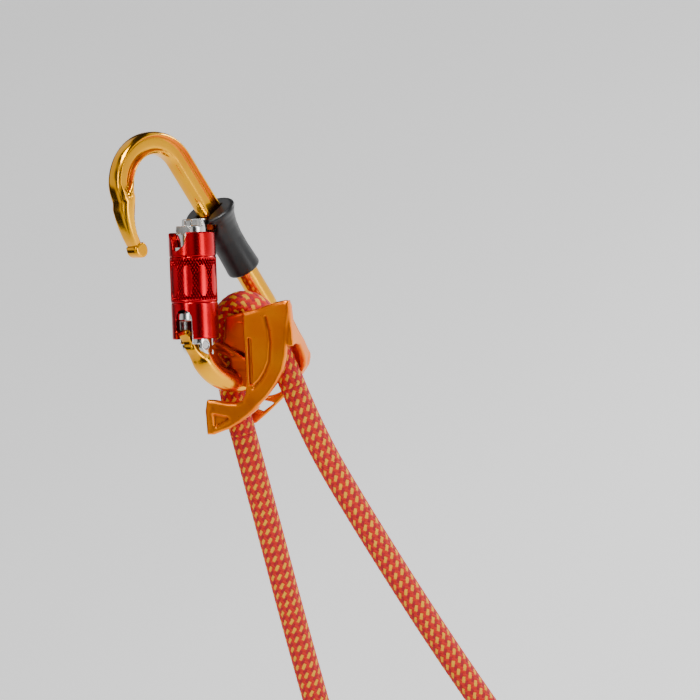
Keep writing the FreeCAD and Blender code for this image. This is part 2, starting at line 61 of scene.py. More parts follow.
# Rope: routes of the two strands in the adjuster's X and Z, and the covers and loop at their ends
LOAD_ROUTE = [(-1.45, -46.0), (10.04, -86.5), (20.4, -124.6), (31.6, -162.5)]
FREE_ROUTE = [(20.5, -24.0), (29.35, -43.93), (46.0, -70.5), (73.0, -110.0), (96.0, -141.5),
              (109.5, -159.0)]
ROPE_R = 5.4
BIGHT_R = 9
EYE_COVER = 40.0
FREE_COVER = 32.0
LOOP_DROP = 38.0
LOOP_R = 16.0
CAM_TIPS = (0.0, -3.0, -6.0)
YARNS_AROUND = 40
YARN_RUN = 0.975


def from_adjuster(points):
    return np.asarray(points, float) @ ADJ.T + ADJ_AT


def from_gate(points):
    """Closed-gate coordinates, hinge at the origin and the gate up +Z, to the open pose."""
    p = np.asarray(points, float)
    c, s = math.cos(GATE_OPEN), math.sin(GATE_OPEN)
    turned = np.stack([p[:, 0] * c + p[:, 2] * s, p[:, 1], -p[:, 0] * s + p[:, 2] * c], 1)
    return turned + HINGE


def about_gate(x, z):
    """Distance to the right of the open gate's axis, and height along it from the hinge."""
    wx, wz = x - HINGE[0], z - HINGE[2]
    return wx * GATE_Z - wz * GATE_X, wx * GATE_X + wz * GATE_Z


def same(points):
    return np.asarray(points, float)


# ------------------------------------------------------------------ mesh helpers

def add_mesh(name, verts, faces, place=same, smooth=True, uv=None, slots=None):
    mesh = bpy.data.meshes.new(name)
    mesh.from_pydata((place(verts) * MM).tolist(), [], [tuple(map(int, f)) for f in faces])
    mesh.update()
    if smooth:
        mesh.polygons.foreach_set("use_smooth", np.ones(len(mesh.polygons), bool))
    if uv is not None:
        layer = mesh.uv_layers.new(name="UVMap")
        loops = np.zeros(len(mesh.loops), int)
        mesh.loops.foreach_get("vertex_index", loops)
        layer.data.foreach_set("uv", np.asarray(uv, float)[loops].ravel())
    if slots is not None:
        mesh.polygons.foreach_set("material_index", np.asarray(slots, np.int32))
    piece = bpy.data.objects.new(name, mesh)
    bpy.context.scene.collection.objects.link(piece)
    return piece


def tube_faces(rings, count, closed_ends=True, loop=False):
    """Quads between rings of count points each, with each end closed by one many-sided face."""
    a = np.arange(rings - (0 if loop else 1))
    j = np.arange(count)
    base = (a[:, None] * count + j[None, :])
    right = (a[:, None] * count + (j[None, :] + 1) % count)
    up = ((a[:, None] + 1) % rings) * count
    quads = np.stack([base, right, up + (j[None, :] + 1) % count, up + j[None, :]], -1).reshape(-1, 4)
    faces = [tuple(q) for q in quads.tolist()]
    if closed_ends and not loop:
        faces.append(tuple(range(count))[::-1])
        faces.append(tuple((rings - 1) * count + k for k in range(count)))
    return faces


def net(f, low, high, h, fix=3):
    """Smooth closed surface where f is zero, by surface nets on a grid of pitch h, then pulled onto f."""
    low = np.array(low, float)
    n = np.ceil((np.array(high, float) - low) / h).astype(int) + 1
    axes = [low[i] + h * np.arange(n[i]) for i in range(3)]
    grid = np.meshgrid(*axes, indexing="ij")
    v = f(grid[0], grid[1], grid[2])
    inside = v < 0
    m = n - 1
    sub = [slice(0, -1), slice(1, None)]
    corner = {}
    for dx in (0, 1):
        for dy in (0, 1):
            for dz in (0, 1):
                corner[(dx, dy, dz)] = (sub[dx], sub[dy], sub[dz])
    total = sum(inside[c].astype(np.int8) for c in corner.values())
    cells = (total > 0) & (total < 8)
    index = -np.ones(tuple(m), int)
    where = np.argwhere(cells)
    index[cells] = np.arange(len(where))
    acc = np.zeros((len(where), 3))
    cnt = np.zeros(len(where))
    for c0 in corner:
        for axis in range(3):
            if c0[axis] == 0:
                c1 = list(c0)
                c1[axis] = 1
                a = v[corner[c0]][cells]
                b = v[corner[tuple(c1)]][cells]
                hit = (a < 0) != (b < 0)
                t = np.where(hit, a / np.where(hit, a - b, 1), 0)
                p = np.array(c0, float)[None, :].repeat(len(where), 0)
                p[:, axis] = t
                acc[hit] += p[hit]
                cnt[hit] += 1
    verts = low + h * (where + acc / cnt[:, None])
    faces = []
    for axis in range(3):
        o1, o2 = [(1, 2), (2, 0), (0, 1)][axis]
        lo = [slice(None)] * 3
        hi = [slice(None)] * 3
        lo[axis] = slice(0, -1)
        hi[axis] = slice(1, None)
        cross = inside[tuple(lo)] != inside[tuple(hi)]
        out = inside[tuple(lo)]
        pts = np.argwhere(cross)
        keep = (pts[:, o1] > 0) & (pts[:, o2] > 0) & (pts[:, o1] < m[o1]) & (pts[:, o2] < m[o2])
        pts = pts[keep]
        ring = []
        for d1, d2 in ((0, 0), (-1, 0), (-1, -1), (0, -1)):
            q = pts.copy()
            q[:, o1] += d1
            q[:, o2] += d2
            ring.append(index[q[:, 0], q[:, 1], q[:, 2]])
        quad = np.stack(ring, 1)
        flip = ~out[tuple(pts.T)]
        quad[flip] = quad[flip][:, ::-1]
        faces.append(quad)
    faces = np.concatenate(faces)
    e = 0.02
    for _ in range(fix):
        x, y, z = verts.T
        g = np.stack([f(x + e, y, z) - f(x - e, y, z), f(x, y + e, z) - f(x, y - e, z),
                      f(x, y, z + e) - f(x, y, z - e)], 1) / (2 * e)
        step = (f(x, y, z) / np.maximum((g ** 2).sum(1), 0.2))[:, None] * g
        verts = verts - np.clip(0.8 * step, -0.4 * h, 0.4 * h)
    return verts, faces


# signed distances, in mm

def d_poly(points, x, z):
    """Signed distance to a closed outline, negative inside."""
    p = np.array(points, float)
    best = np.full(x.shape, 1e9)
    inside = np.zeros(x.shape, bool)
    for i in range(len(p)):
        a, b = p[i - 1], p[i]
        e = b - a
        wx, wz = x - a[0], z - a[1]
        t = np.clip((wx * e[0] + wz * e[1]) / (e @ e), 0, 1)
        best = np.minimum(best, (wx - t * e[0]) ** 2 + (wz - t * e[1]) ** 2)
        if e[1] != 0:
            hit = ((a[1] <= z) & (b[1] > z)) | ((b[1] <= z) & (a[1] > z))
            cut = a[0] + (z - a[1]) / e[1] * e[0]
            inside ^= hit & (x < cut)
    return np.where(inside, -1, 1) * np.sqrt(best)


def d_line(points, x, z):
    """Distance to an open polyline."""
    p = np.array(points, float)
    best = np.full(x.shape, 1e9)
    for i in range(1, len(p)):
        a, b = p[i - 1], p[i]
        e = b - a
        wx, wz = x - a[0], z - a[1]
        t = np.clip((wx * e[0] + wz * e[1]) / (e @ e), 0, 1)
        best = np.minimum(best, (wx - t * e[0]) ** 2 + (wz - t * e[1]) ** 2)
    return np.sqrt(best)


def slab(d, y, low, high, r):
    """Outline distance d carried between two planes across y, with rounded edges of radius r."""
    w = np.abs(y - (low + high) / 2) - (high - low) / 2 + r
    u = d + r
    return np.minimum(np.maximum(u, w), 0) + np.sqrt(np.maximum(u, 0) ** 2 + np.maximum(w, 0) ** 2) - r


def join(a, b, k):
    """a with b, with a fillet of about k between them."""
    h = np.clip(0.5 + 0.5 * (b - a) / k, 0, 1)
    return b * (1 - h) + a * h - k * h * (1 - h)


def carve(a, b, k):
    """a less b, with a rounded rim."""
    return -join(-a, b, k)


def d_disc(x, y, z, at, axis, r, half, rim):
    """Short cylinder about at, along a unit axis."""
    n = np.array(axis, float)
    n /= np.linalg.norm(n)
    wx, wy, wz = x - at[0], y - at[1], z - at[2]
    s = wx * n[0] + wy * n[1] + wz * n[2]
    radial = np.sqrt(np.maximum(wx ** 2 + wy ** 2 + wz ** 2 - s ** 2, 0))
    return slab(radial - r, s, -half, half, rim)


# ------------------------------------------------------------------ materials

def shader(name):
    mat = bpy.data.materials.new(name)
    mat.use_nodes = True
    tree = mat.node_tree
    return mat, tree, tree.nodes["Principled BSDF"]


def noise(tree, scale, detail=4.0, rough=0.5, stretch=None):
    coords = tree.nodes.new("ShaderNodeTexCoord")
    tex = tree.nodes.new("ShaderNodeTexNoise")
    tex.inputs["Scale"].default_value = scale
    tex.inputs["Detail"].default_value = detail
    tex.inputs["Roughness"].default_value = rough
    if stretch:
        mapping = tree.nodes.new("ShaderNodeMapping")
        mapping.inputs["Scale"].default_value = stretch
        tree.links.new(coords.outputs["Object"], mapping.inputs["Vector"])
        tree.links.new(mapping.outputs["Vector"], tex.inputs["Vector"])
    else:
        tree.links.new(coords.outputs["Object"], tex.inputs["Vector"])
    return tex


def ramp(tree, source, low, high, at=(0.35, 0.65)):
    node = tree.nodes.new("ShaderNodeValToRGB")
    node.color_ramp.elements[0].position = at[0]
    node.color_ramp.elements[1].position = at[1]
    node.color_ramp.elements[0].color = low
    node.color_ramp.elements[1].color = high
    tree.links.new(source, node.inputs["Fac"])
    return node


def span(tree, source, low, high):
    node = tree.nodes.new("ShaderNodeMapRange")
    node.inputs["To Min"].default_value = low
    node.inputs["To Max"].default_value = high
    tree.links.new(source, node.inputs["Value"])
    return node.outputs["Result"]


def bump(tree, bsdf, source, strength, distance):
    node = tree.nodes.new("ShaderNodeBump")
    node.inputs["Strength"].default_value = strength
    node.inputs["Distance"].default_value = distance
    tree.links.new(source, node.inputs["Height"])
    tree.links.new(node.outputs["Normal"], bsdf.inputs["Normal"])


def anodised(name, low, high, rough, grain, metallic=1.0, coat=0.0):
    """Dyed aluminium: a slight unevenness of colour and sheen, a fine grain, and painted shade that darkens
    hollows and creases by pointiness.
    """
    mat, tree, bsdf = shader(name)
    cloud = noise(tree, 90, 3)
    colour = ramp(tree, cloud.outputs["Fac"], (*low, 1), (*high, 1))
    # painted shade: low pointiness (hollows, creases, grooves) multiplies the colour towards dark brown, like
    # occlusion
    hollow = ramp(tree, tree.nodes.new("ShaderNodeNewGeometry").outputs["Pointiness"], (0.42, 0.20, 0.10, 1),
                  (1, 1, 1, 1), (0.44, 0.505))
    mix = tree.nodes.new("ShaderNodeMix")
    mix.data_type = "RGBA"
    mix.blend_type = "MULTIPLY"
    mix.inputs[0].default_value = 1.0
    tree.links.new(colour.outputs["Color"], mix.inputs[6])
    tree.links.new(hollow.outputs["Color"], mix.inputs[7])
    tree.links.new(mix.outputs[2], bsdf.inputs["Base Color"])
    fine = noise(tree, 1400, 3, 0.6)
    tree.links.new(span(tree, fine.outputs["Fac"], rough * 0.75, rough * 1.3), bsdf.inputs["Roughness"])
    bsdf.inputs["Metallic"].default_value = metallic
    bsdf.inputs["Coat Weight"].default_value = coat
    bsdf.inputs["Coat Roughness"].default_value = 0.12
    bump(tree, bsdf, fine.outputs["Fac"], grain, 0.00004)
    return mat


def brushed(name, colour, rough):
    mat, tree, bsdf = shader(name)
    streak = noise(tree, 500, 3, 0.6, (1, 1, 0.08))
    tone = ramp(tree, streak.outputs["Fac"], (*[c * 0.86 for c in colour], 1), (*colour, 1))
    tree.links.new(tone.outputs["Color"], bsdf.inputs["Base Color"])
    tree.links.new(span(tree, streak.outputs["Fac"], rough * 0.7, rough * 1.4), bsdf.inputs["Roughness"])
    bsdf.inputs["Metallic"].default_value = 1.0
    bump(tree, bsdf, streak.outputs["Fac"], 0.12, 0.00003)
    return mat


def rubber(name, colour, rough, grain=0.35):
    mat, tree, bsdf = shader(name)
    speck = noise(tree, 2600, 4, 0.7)
    tone = ramp(tree, speck.outputs["Fac"], (*[c * 0.7 for c in colour], 1), (*[c * 1.35 for c in colour], 1))
    tree.links.new(tone.outputs["Color"], bsdf.inputs["Base Color"])
    tree.links.new(span(tree, speck.outputs["Fac"], rough * 0.85, rough * 1.1), bsdf.inputs["Roughness"])
    bsdf.inputs["Specular IOR Level"].default_value = 0.45
    bump(tree, bsdf, speck.outputs["Fac"], grain, 0.00006)
    return mat


def yarn(name, dark, light, rough=0.72):
    """Twisted filaments: fine streaks of shade, a soft sheen."""
    mat, tree, bsdf = shader(name)
    fibre = noise(tree, 3200, 3, 0.6)
    tone = ramp(tree, fibre.outputs["Fac"], (*dark, 1), (*light, 1), (0.3, 0.7))
    tree.links.new(tone.outputs["Color"], bsdf.inputs["Base Color"])
    bsdf.inputs["Roughness"].default_value = rough
    bsdf.inputs["Sheen Weight"].default_value = 0.04
    bsdf.inputs["Sheen Roughness"].default_value = 0.4
    bump(tree, bsdf, fibre.outputs["Fac"], 0.5, 0.00008)
    return mat


GOLD = anodised("gold_anodised", (0.96, 0.40, 0.0), (1.0, 0.47, 0.0), 0.17, 0.05)
RED = anodised("red_anodised", (0.50, 0.0, 0.008), (0.62, 0.002, 0.016), 0.24, 0.12)
# painted shade: near-black red standing in for the shadow at the bottom of the knurl grooves
RED_KNURL_GROOVE_SHADE = anodised("red_knurl_groove_shade", (0.020, 0.0, 0.0), (0.040, 0.0, 0.001), 0.6, 0.2)
ORANGE = anodised("orange_anodised", (0.95, 0.20, 0.0), (1.0, 0.26, 0.0), 0.30, 0.10)
# painted shade: a darker copy of the orange anodising, for the parts that lie in shadow behind the front plate
ORANGE_PAINTED_SHADE = anodised("dark_orange_anodised", (0.62, 0.060, 0.0), (0.76, 0.090, 0.0), 0.30, 0.10)
SILVER = brushed("steel", (0.78, 0.78, 0.77), 0.16)
RUBBER = rubber("black_rubber", (0.006, 0.006, 0.007), 0.40)
PLASTIC = rubber("black_plastic", (0.030, 0.030, 0.034), 0.50, 0.2)
YARN_RED = yarn("yarn_red", (0.56, 0.003, 0.0), (0.80, 0.009, 0.0))
YARN_CRIMSON = yarn("yarn_crimson", (0.34, 0.0, 0.008), (0.52, 0.001, 0.024))
YARN_YELLOW = yarn("yarn_yellow", (0.88, 0.36, 0.0), (0.95, 0.50, 0.0))
COVER = rubber("stitching_cover", (0.020, 0.020, 0.024), 0.6, 0.6)
THREAD = yarn("thread", (0.55, 0.55, 0.52), (0.78, 0.78, 0.74))


def finish_piece(piece, mats, slot, body, *nodes):
    for m in mats if isinstance(mats, list) else [mats]:
        piece.data.materials.append(m)
    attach(piece, body)
    if nodes:
        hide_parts(*nodes)
    return piece


# ------------------------------------------------------------------ carabiner frame

def section(a, b, g, depth, power, count=132):
    """Closed section across the bar: half width a in the ring's plane, half depth b across it,
    a groove of half width g on both faces."""
    t = np.linspace(0, 2 * math.pi, 1441)[:-1]
    c, s = np.cos(t), np.sin(t)
    x = a * np.sign(c) * np.abs(c) ** (2 / power)
    y = b * np.sign(s) * np.abs(s) ** (2 / power)
    if depth > 0 and g > 0:
        window = np.clip((g - np.abs(x)) / 0.95, 0, 1)
        window = window * window * (3 - 2 * window)
        y = y - np.sign(y) * depth * window
    ring = np.stack([x, y], 1)
    closed = np.vstack([ring, ring[:1]])
    run = np.concatenate([[0], np.cumsum(np.linalg.norm(np.diff(closed, axis=0), axis=1))])
    at = np.linspace(0, run[-1], count + 1)[:-1]
    return np.stack([np.interp(at, run, closed[:, 0]), np.interp(at, run, closed[:, 1])], 1)


def smooth_step(x):
    x = np.clip(x, 0, 1)
    return x * x * (3 - 2 * x)


def frame_stations():
    """Centre, across-bar direction, half width, half depth, groove width and depth, and squareness of the
    sections along the bar, from the nose bulb to the foot of the tang."""
    rows = []
    bulb = (-23.4, -27.3, 3.3)
    for k in range(15):
        z = bulb[1] - bulb[2] + 0.04 + (k / 14) ** 1.2 * (bulb[2] + 2.2)
        half = math.sqrt(max(bulb[2] ** 2 - (z - bulb[1]) ** 2, 0.05))
        rows.append(((bulb[0], z), None, max(half, 0.3), 3.3 - 0.4 * max(0, 1 - half / 1.6), 0, 0, 6.0))
    arm = [((-23.3, -24.9), 1.75, 2.9, 4.5), ((-23.3, -24.1), 2.1, 3.2, 3.4), ((-22.8, -20.5), 2.2, 3.5, 3.2),
           ((-21.8, -17.0), 2.5, 3.8, 3.2), ((-20.5, -13.8), 2.9, 4.1, 3.3), ((-18.75, -10.7), 3.5, 4.4, 3.4)]
    for centre, half, deep, power in arm:
        rows.append((centre, None, half, deep, 0, 0, power))
    for k in range(41):
        angle = math.radians(165 - 165 * k / 40)
        centre = (HOOK_R * math.cos(angle), HOOK_Z + HOOK_R * math.sin(angle))
        along = 165 - math.degrees(angle)
        grow = smooth_step((along + 2) / 30)
        rows.append((centre, (math.cos(angle), math.sin(angle)), 4.1 + 0.6 * smooth_step(along / 25), 4.6,
                     3.3 * grow, 2.6 * smooth_step(along / 14), 2.9))
    for k in range(1, 19):
        z = HOOK_Z - 44 * k / 18
        rows.append(((SPINE_X, z), (1, 0), BAR_R, 4.6, 3.3, 2.6, 2.9))
    for k in range(1, 9):
        u = k / 8
        rows.append(((SPINE_X, -56.1 - 8 * u), (1, 0), BAR_R, 4.6 + 0.1 * u,
                     3.3 * (1 - u), 2.6 * (1 - smooth_step(u)), 2.9 - 0.9 * u))
    for k in range(1, 12):
        rows.append(((SPINE_X, -64.1 - 19.9 * k / 12), (1, 0), BAR_R, BAR_R, 0, 0, 2.0))
    for k in range(49):
        angle = math.radians(-180 * k / 48)
        rows.append(((BASKET_X + BASKET_R * math.cos(angle), BASKET_Z + BASKET_R * math.sin(angle)),
                     (math.cos(angle), math.sin(angle)), BAR_R, BAR_R, 0, 0, 2.0))
    return rows


def carabiner_frame():
    rows = frame_stations()
    centres = np.array([r[0] for r in rows], float)
    tangents = np.gradient(centres, axis=0)
    verts = []
    count = 132
    for i, (centre, out, a, b, g, d, power) in enumerate(rows):
        if out is None:
            t = tangents[i] / np.linalg.norm(tangents[i])
            out = (-t[1], t[0])
        out = np.array(out, float)
        if i < 21:
            out = out / np.linalg.norm(out)
        ring = section(a, b, g, d, power, count)
        for u, w in ring:
            verts.append((centre[0] + out[0] * u, w, centre[1] + out[1] * u))
    last = len(rows)
    # the bar runs on up into the flat tang at the hinge
    tang = [(-83.0, 4.6, 4.6, 2.0), (-82.0, 4.5, 4.35, 2.1), (-81.1, 4.35, 3.9, 2.4), (-80.3, 4.2, 3.45, 3.0),
            (-78.5, 3.95, 3.2, 3.8), (-76.0, 3.7, 3.0, 5.0), (-73.6, 3.5, 2.8, 6.0)]
    for z, a, b, power in tang:
        ring = section(a, b, 0, 0, power, count)
        for u, w in ring:
            verts.append((STEM_X + 0.4 * smooth_step((z + 83.5) / 5) - u, w, z))
    slanted = [(-73.3, 1.5, -25.15), (-71.0, 1.45, -25.1), (-69.0, 1.35, -25.0), (-67.9, 1.2, -24.9),
               (-67.4, 0.9, -24.9)]
    for z, a, x in slanted:
        ring = section(a, 2.8 - (0.3 if z > -67.5 else 0), 0, 0, 6.0, count)
        for u, w in ring:
            verts.append((x - u, w, z + (0.3 * u if z > -70 else 0)))
    rings = last + len(tang) + len(slanted)
    # the spine is relieved where the sleeve passes it on its way up
    verts = np.array(verts, float)
    clear = 10.0
    side, rise = about_gate(verts[:, 0], verts[:, 2])
    reach = np.hypot(side, verts[:, 1])
    near = (rise > 38) & (rise < 49.3) & (reach < clear) & (side > 0)
    push = np.where(near, (clear - reach) / np.maximum(reach, 1e-6), 0) * side
    verts[:, 0] += push * GATE_Z
    verts[:, 2] -= push * GATE_X
    piece = add_mesh("frame_bar", verts, tube_faces(rings, count))
    piece.data.flip_normals()
    return finish_piece(piece, GOLD, "gold_anodised", "carabiner", "carabiner_frame")


# ------------------------------------------------------------------ grip

def grip():
    """Rubber sleeve on the spine, flared at the top and relieved for the lock sleeve and the gate's head."""
    zs = np.array([-68.0, -64.0, -58.0, -52.0, -47.0, -43.5, -41.2, -39.6, -38.4, -37.6])
    across = np.array([6.9, 6.7, 6.4, 6.4, 6.9, 7.6, 8.3, 9.1, 9.5, 9.4])
    deep = np.array([7.5, 7.3, 7.2, 7.5, 8.4, 9.6, 10.8, 12.0, 12.6, 12.4])

    def f(x, y, z):
        a = np.interp(z, zs, across)
        b = np.interp(z, zs, deep)
        q = np.sqrt(((x - SPINE_X) / a) ** 2 + (y / b) ** 2)
        body = (q - 1) * a * 0.95
        lid = np.abs(z + 52.8) - 15.2
        d = -join(-body, -lid, 1.6)
        side, rise = about_gate(x, z)
        barrel = np.sqrt(side ** 2 + y ** 2)
        relief = np.where(rise < 48.8, barrel - 10.15, barrel - 7.1)
        swing = np.hypot(x - HINGE[0], z - HINGE[2]) - 52.2
        sweep = np.maximum(np.maximum(np.abs(y) - 7.1, swing), side)
        d = carve(d, relief, 0.8)
        d = carve(d, sweep, 0.8)
        bore = np.maximum(np.abs(x - SPINE_X) - 4.5, np.abs(y) - 4.4)
        return np.maximum(d, -bore)

    verts, faces = net(f, (6, -13.5, -69.5), (27, 13.5, -36.5), 0.5)
    piece = add_mesh("grip_sleeve", verts, faces)
    return finish_piece(piece, RUBBER, "black_rubber", "carabiner", "spine_grip")


# ------------------------------------------------------------------ gate and lock

def gate_body():
    """Barrel with the nose slot in its head, the hinge fork at its foot and the spring bore."""
    def f(x, y, z):
        r = np.sqrt(x ** 2 + y ** 2)
        d = slab(r - 6.45, z, -12, 51.4, 0.8)
        foot = np.sqrt((x - 1.9) ** 2 + (z - 0.5) ** 2) - 4.4
        d = np.maximum(d, np.where(z < 0.5, foot, -1))
        fork = np.maximum(np.maximum(np.abs(y) - 3.6, z - 10.0), -z - 20)
        slot = np.maximum(np.maximum(np.abs(y) - 4.25, x - 3.6), 45.4 - z)
        step = np.maximum(x - 0.2, 48.6 - z)
        d = carve(d, fork, 0.35)
        d = carve(d, slot, 0.35)
        d = carve(d, step, 0.5)
        pin = np.sqrt(x ** 2 + z ** 2) - 1.56
        d = np.maximum(d, -pin)
        bore = np.maximum(np.sqrt((x - 1.2) ** 2 + y ** 2) - 2.25, np.maximum(8 - z, z - 34.1))
        d = np.maximum(d, -bore)
        return d

    verts, faces = net(f, (-7.4, -7.4, -7.0), (7.4, 7.4, 53.4), 0.42)
    piece = add_mesh("gate_barrel", verts, faces, from_gate)
    return finish_piece(piece, SILVER, "steel", "gate", "gate_body")


def sleeve():
    """Knurled twist sleeve: wavy top, plain ovals in the knurl, a slot at the foot for the tang."""
    cols, ds = 540, 0.2
    phi = np.linspace(0, 2 * math.pi, cols + 1)[:-1]
    bottom, high = 2.5, 45.9
    top = np.interp(np.degrees(phi), [146, 158, 168, 173, 180, 192, 205, 211, 216],
                    [high, 44.4, 43.0, 38.5, 38.2, 39.0, 40.4, 41.4, high])
    rows = int((high - bottom) / ds) + 1
    grid_s = bottom + (top[None, :] - bottom) * np.linspace(0, 1, rows)[:, None]
    grid_p = np.repeat(phi[None, :], rows, 0)
    r_out = np.full(grid_s.shape, SLEEVE_R)
    # diamond knurl between the two lines
    knurl = smooth_step((grid_s - 18.2) / 0.5) * smooth_step((35.2 - grid_s) / 0.5)
    turn = 48 * grid_p / (2 * math.pi)
    u = turn + grid_s / 2.1
    w = turn - grid_s / 2.1
    lines = np.minimum(np.abs((u % 1) - 0.5), np.abs((w % 1) - 0.5))
    cut = 1 - np.clip(lines / 0.27, 0, 1)
    for k in range(9):
        centre = 2 * math.pi * (k + 0.34) / 9
        off = ((grid_p - centre + math.pi) % (2 * math.pi) - math.pi) * SLEEVE_R
        oval = (np.abs(off) / 2.35) ** 2.1 + (np.abs(grid_s - 26.2) / 6.4) ** 2.3
        knurl = knurl * smooth_step((oval - 0.93) / 0.14)
    r_out = r_out - 0.45 * knurl * cut
    # painted shade: faces deep in the knurl grooves take the near-black groove material
    deep = (knurl * cut)[:-1] > 0.4
    for line in (17.35, 35.95):
        r_out = r_out - 0.28 * np.exp(-((grid_s - line) / 0.22) ** 2)
    edge = np.minimum(grid_s - bottom, top[None, :] - grid_s)
    r_out = r_out - 0.5 * (1 - np.clip(edge / 0.55, 0, 1)) ** 2
    outer = np.stack([r_out * np.cos(grid_p), r_out * np.sin(grid_p), grid_s], -1).reshape(-1, 3)
    inner_rows = [(8.7, 0.0), (8.7, 0.5), (6.75, 0.86), (6.75, 1.0)]
    inner = []
    for r, share in inner_rows[::-1]:
        s = bottom + (top - bottom) * share
        inner.append(np.stack([r * np.cos(phi), r * np.sin(phi), s], -1))
    verts = np.vstack([outer] + inner)
    faces = tube_faces(rows + len(inner_rows), cols, loop=True)
    tone = np.zeros(len(faces), int)
    tone[:deep.size] = deep.ravel()
    piece = add_mesh("sleeve_shell", verts, faces, slots=tone)
    piece.data.materials.append(RED)
    piece.data.materials.append(RED_KNURL_GROOVE_SHADE)
    # rounded slot, cut as a solid
    slot_angle = math.radians(198)
    pts = [(-4.1, -1.0)] + [(-3.9 * math.cos(t), 10.7 + 3.9 * math.sin(t)) for t in np.linspace(0, math.pi, 24)]
    pts.append((4.1, -1.0))
    side = np.array([-math.sin(slot_angle), math.cos(slot_angle)])
    out = np.array([math.cos(slot_angle), math.sin(slot_angle)])
    ring = []
    for reach in (3.0, 14.0):
        for a, s in pts:
            xy = out * reach + side * a
            ring.append((xy[0], xy[1], s))
    tool = add_mesh("tool_0", ring, tube_faces(2, len(pts)), smooth=False)
    cleaned(tool)
    mod = piece.modifiers.new("cut", "BOOLEAN")
    mod.operation = "DIFFERENCE"
    mod.solver = "EXACT"
    mod.object = tool
    applied(piece)
    bpy.data.objects.remove(tool)
    co = np.zeros(len(piece.data.vertices) * 3)
    piece.data.vertices.foreach_get("co", co)
    moved = from_gate(co.reshape(-1, 3) / MM) * MM
    piece.data.vertices.foreach_set("co", moved.ravel())
    piece.data.update()
    sharpen(piece, 40)
    return finish_piece(piece, [], "red_anodised", "sleeve", "locking_sleeve")


def cleaned(piece):
    import bmesh
    bm = bmesh.new()
    bm.from_mesh(piece.data)
    bmesh.ops.recalc_face_normals(bm, faces=bm.faces)
    bm.to_mesh(piece.data)
    bm.free()


def applied(piece):
    deps = bpy.context.evaluated_depsgraph_get()
    mesh = bpy.data.meshes.new_from_object(piece.evaluated_get(deps))
    piece.modifiers.clear()
    old = piece.data
    piece.data = mesh
    bpy.data.meshes.remove(old)


def sharpen(piece, degrees):
    """Marks the edges sharper than the angle, so that smooth shading stops at them."""
    import bmesh
    bm = bmesh.new()
    bm.from_mesh(piece.data)
    limit = math.radians(degrees)
    for face in bm.faces:
        face.smooth = True
    for edge in bm.edges:
        if len(edge.link_faces) == 2 and edge.calc_face_angle() > limit:
            edge.smooth = False
    bm.to_mesh(piece.data)
    bm.free()


# ------------------------------------------------------------------ adjuster

# X and Z of the front plate's outline
PLATE = [(2.7, 8.0), (9.0, 9.9), (17.0, 13.4), (20.6, 14.4), (23.0, 14.6), (23.2, 10.0), (22.4, 4.0),
         (22.2, -3.0), (21.6, -9.0), (20.2, -15.0), (17.2, -21.0), (13.4, -26.4), (7.4, -33.2), (1.6, -38.4),
         (-4.0, -41.9), (-9.0, -44.2), (-13.0, -44.9), (-13.6, -40.0), (-14.0, -35.0), (-13.2, -30.2),
         (-9.5, -30.0), (-4.0, -30.6), (0.0, -30.4), (2.6, -28.8), (3.9, -26.0), (4.3, -20.0), (3.6, -8.0),
         (2.8, 3.0)]

# Y and Z of the wall that joins the front plate's crest to the back plate
SIDE_WALL = [(-11.8, 14.4), (-8.4, 12.6), (-7.6, 5.2), (-3.7, 0.5), (1.7, -4.1), (6.8, -9.8), (8.3, -11.5),
             (8.3, -21.0), (4.0, -20.0), (2.4, -13.9), (-0.5, -9.5), (-3.9, -5.3), (-7.9, -3.9), (-11.8, -4.3)]


def bight_line():
    """The rope's way through the body: up from the loaded strand, over the cam, out to the free strand."""
    pts = [LOAD_ROUTE[0]]
    corner, rise = np.array([-9.0, -19.4]), np.array([-9.0, 0.0])
    start = np.array([-4.5, -35.26])
    end = np.array([-9.0, -2.91])
    for t in np.linspace(0, 1, 24):
        pts.append(tuple((1 - t) ** 2 * start + 2 * t * (1 - t) * corner + t * t * end))
    pts.append(tuple(rise))
    for k in range(1, 40):
        a = math.radians(180 - (180 - 24) * k / 39)
        pts.append((BIGHT_R * math.cos(a), BIGHT_R * math.sin(a)))
    pts.append(FREE_ROUTE[0])
    return pts


def basket_clearance(x, y, z, radius):
    """Distance to a round bar along the basket's ring, in the adjuster's coordinates."""
    p = np.stack([x.ravel(), y.ravel(), z.ravel()], 1) @ ADJ.T + ADJ_AT
    px, py, pz = p.T
    ring = np.sqrt((np.sqrt((px - BASKET_X) ** 2 + (pz - BASKET_Z) ** 2) - BASKET_R) ** 2 + py ** 2) - radius
    return ring, px, py, pz


